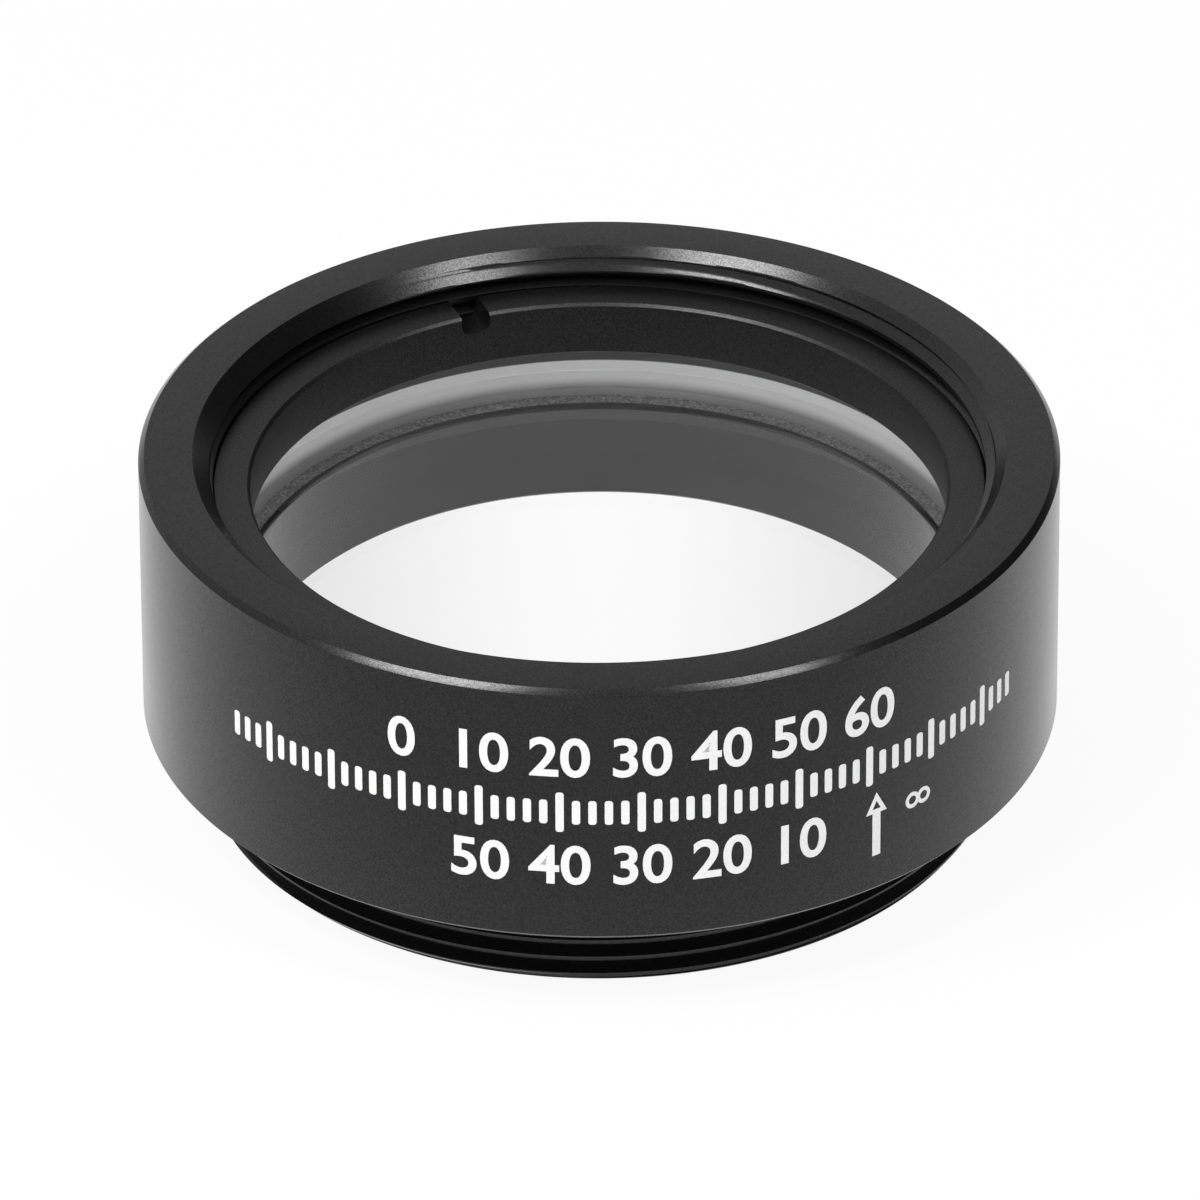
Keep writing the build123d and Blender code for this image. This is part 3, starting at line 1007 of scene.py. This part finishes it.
def build_marks(settings):
    """A plain double dial scale: ticks in the middle, numbers rising to the right above them and to
    the left below. Beside it, an arrow points to the side that faces far away."""
    marks = settings.marks
    ink = white_print("White screen print", settings.finish.ink)
    # Every fifth tick is long, from the fourth on.
    group = 5
    shift = 2
    bm = bmesh.new()
    add_from_tree(bm, tick_tree(), {
        "Count": marks.tick_count, "Group": group, "Shift": shift, "First": marks.first_tick,
        "Step": marks.tick_step, "Radius": BARREL_R - marks.ink_sunk,
        "Height": TOP_Z - marks.scale_row, "Width": marks.tick_width, "Long": marks.cap,
        "Short": marks.short_tick, "Ink": marks.ink_height + marks.ink_sunk, "Material": ink})
    first_long = marks.first_tick + (group - shift) * marks.tick_step
    # Skipped is how many long ticks come before the row's first number.
    for row_z, numbers, skipped in ((marks.upper_row, range(0, 61, 10), 2),
                                    (marks.lower_row, range(50, 0, -10), 3)):
        for i, number in enumerate(numbers):
            turn = first_long + (skipped + i) * group * marks.tick_step
            wrap_on_barrel(bm, glyphs(str(number), marks.cap, marks), turn, TOP_Z - row_z, marks)
    arrow_middle = 6.9 * MM
    far_middle = 6.6 * MM
    wrap_on_barrel(bm, arrow(marks), marks.arrow_turn, TOP_Z - arrow_middle, marks)
    wrap_on_barrel(bm, far_sign(marks), marks.far_turn, TOP_Z - far_middle, marks)
    piece = finished(bm, "printed_marks", [ink], PRINT_EDGE)
    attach(piece, BODY)
    return piece


# Stage

LAMP_DISTANCE = 300 * MM
LAMP_HEIGHT = 100 * MM
# Name, degrees to the right of the front, degrees up, width in millimetres and power in watts
LAMPS = (
    ("softbox_left", -50, 53, 130, 0.62),
    ("softbox_right", 50, 53, 80, 0.28),
)


def build_floor(stage, finish):
    """A plain floor, just below the rim that stands on it, so the two do not coincide."""
    half = stage.floor_size / 2
    floor_z = -0.01 * MM
    bm = bmesh.new()
    bm.faces.new([bm.verts.new((x, y, floor_z)) for x, y in
                  ((-half, -half), (half, -half), (half, half), (-half, half))])
    mesh = mesh_of(bm, "floor")
    mesh.materials.append(pale_floor("White paper floor", finish.floor))
    link_new("floor", mesh)


def build_world():
    """White to the camera and through the glass. In the metal it is a pale room with a dark
    screen behind on the right."""
    screen_way = Vector((0.82, 0.38, 0.43))
    screen_half = math.radians(25)
    room_starts = math.radians(50)
    room_level, screen_level = 0.53, 0.05
    level_after_mirror = 0.3
    # The ground glass gathers more light through the lens than a plain white room gives it.
    level_at_ground_glass = 1.85
    world = bpy.data.worlds.new("Studio")
    world.use_nodes = True
    tree = world.node_tree
    tree.nodes.clear()
    ray, was_mirrored, was_scattered = light_history(tree)
    way = add(tree, "ShaderNodeTexCoord").outputs["Generated"]
    toward_screen = add(tree, "ShaderNodeVectorMath", {"operation": "DOT_PRODUCT"},
                        {0: way, 1: screen_way})
    room = add(tree, "ShaderNodeMapRange", {"interpolation_type": "SMOOTHSTEP"}, {
        "Value": toward_screen.outputs["Value"], "From Min": math.cos(room_starts),
        "From Max": math.cos(screen_half), "To Min": room_level, "To Max": screen_level})
    mirrored = add(tree, "ShaderNodeMix", {"data_type": "FLOAT"},
                   {"Factor": was_mirrored, "A": 1.0, "B": level_after_mirror})
    white = add(tree, "ShaderNodeMix", {"data_type": "FLOAT"},
                {"Factor": was_scattered, "A": mirrored.outputs[0], "B": level_at_ground_glass})
    bright = add(tree, "ShaderNodeMath", {"operation": "MAXIMUM"},
                 {0: ray["Is Camera Ray"], 1: ray["Is Transmission Ray"]})
    strength = add(tree, "ShaderNodeMix", {"data_type": "FLOAT"},
                   {"Factor": bright.outputs[0], "A": room.outputs[0], "B": white.outputs[0]})
    sky = add(tree, "ShaderNodeBackground", inputs={"Color": WHITE, "Strength": strength.outputs[0]})
    add(tree, "ShaderNodeOutputWorld", inputs={"Surface": sky.outputs[0]})
    bpy.context.scene.world = world


def build_lamps(target):
    """Soft boxes in front of the lens, above it and to both sides, facing it."""
    for name, turn, rise, width, power in LAMPS:
        light = bpy.data.lights.new(name, "AREA")
        light.shape = "RECTANGLE"
        light.size = width * MM
        light.size_y = LAMP_HEIGHT
        light.energy = power
        lamp = link_new(name, light)
        azimuth, height = math.radians(turn), math.radians(rise)
        away = Vector((math.sin(azimuth) * math.cos(height), -math.cos(azimuth) * math.cos(height),
                       math.sin(height)))
        lamp.location = target + away * LAMP_DISTANCE
        lamp.rotation_euler = away.to_track_quat("Z", "Y").to_euler()


def build_camera(stage, target):
    """The camera, placed from its elevation, distance and offsets from the cell's upper face."""
    right = Vector((1, 0, 0))
    up = Vector((0, math.sin(stage.elevation), math.cos(stage.elevation)))
    back = Vector((0, -math.cos(stage.elevation), math.sin(stage.elevation)))
    view_right = right * math.cos(stage.roll) - up * math.sin(stage.roll)
    view_up = right * math.sin(stage.roll) + up * math.cos(stage.roll)
    place = target + view_right * stage.aside - view_up * stage.below + back * stage.distance
    camera = bpy.data.cameras.new("camera")
    camera.lens = stage.lens_mm
    camera.sensor_width = 36
    camera.clip_start = 0.01
    camera.clip_end = 10
    holder = link_new("camera", camera)
    turn = Matrix((view_right, view_up, back)).transposed().to_4x4()
    holder.matrix_world = Matrix.Translation(place) @ turn
    bpy.context.scene.camera = holder


def build_stage(settings):
    """The floor and the world, then the lamps and the camera, placed from the cell's upper face."""
    target = Vector((0, 0, TOP_Z))
    build_floor(settings.stage, settings.finish)
    build_world()
    build_lamps(target)
    build_camera(settings.stage, target)
    bpy.context.scene.view_settings.view_transform = "Standard"


# Operators

class DOUBLET_OT_housing(bpy.types.Operator):
    """Build the anodised cell with its two threads"""
    bl_idname = "doublet.housing"
    bl_label = "Cell"

    def execute(self, context):
        build_housing(context.scene.doublet)
        return {"FINISHED"}


class DOUBLET_OT_ring(bpy.types.Operator):
    """Build the slotted retaining ring"""
    bl_idname = "doublet.ring"
    bl_label = "Retaining Ring"

    def execute(self, context):
        build_ring(context.scene.doublet)
        return {"FINISHED"}


class DOUBLET_OT_glass(bpy.types.Operator):
    """Build the two cemented glass elements"""
    bl_idname = "doublet.glass"
    bl_label = "Glass Elements"

    def execute(self, context):
        build_glass(context.scene.doublet)
        return {"FINISHED"}


class DOUBLET_OT_marks(bpy.types.Operator):
    """Print the plain marks on the barrel"""
    bl_idname = "doublet.marks"
    bl_label = "Printed Marks"

    def execute(self, context):
        build_marks(context.scene.doublet)
        return {"FINISHED"}


class DOUBLET_OT_stage(bpy.types.Operator):
    """Set the floor, the lights and the camera"""
    bl_idname = "doublet.stage"
    bl_label = "Stage"

    def execute(self, context):
        build_stage(context.scene.doublet)
        return {"FINISHED"}


class DOUBLET_PT_panel(bpy.types.Panel):
    """Sizes and colours of the lens, and the operators that build it"""
    bl_idname = "DOUBLET_PT_panel"
    bl_label = "Mounted Doublet"
    bl_space_type = "VIEW_3D"
    bl_region_type = "UI"
    bl_category = "Doublet"

    def draw(self, context):
        settings = context.scene.doublet
        for group in (settings.thread, settings.cell, settings.ring, settings.glass,
                      settings.marks, settings.finish, settings.stage):
            box = self.layout.box()
            for name in group.__annotations__:
                box.prop(group, name)
        for operator in OPERATORS:
            self.layout.operator(operator.bl_idname)


OPERATORS = (DOUBLET_OT_housing, DOUBLET_OT_ring, DOUBLET_OT_glass, DOUBLET_OT_marks,
             DOUBLET_OT_stage)
CLASSES = (ThreadSizes, CellSizes, RingSizes, GlassSizes, MarkSizes, Finishes, StageSizes,
           DoubletSettings, *OPERATORS, DOUBLET_PT_panel)


def register():
    for cls in CLASSES:
        bpy.utils.register_class(cls)
    bpy.types.Scene.doublet = PointerProperty(type=DoubletSettings)


def unregister():
    del bpy.types.Scene.doublet
    for cls in reversed(CLASSES):
        bpy.utils.unregister_class(cls)


def main():
    """Builds the lens and its stage."""
    register()
    bpy.ops.doublet.housing()
    bpy.ops.doublet.ring()
    bpy.ops.doublet.glass()
    bpy.ops.doublet.marks()
    bpy.ops.doublet.stage()


if __name__ == "__main__":
    main()
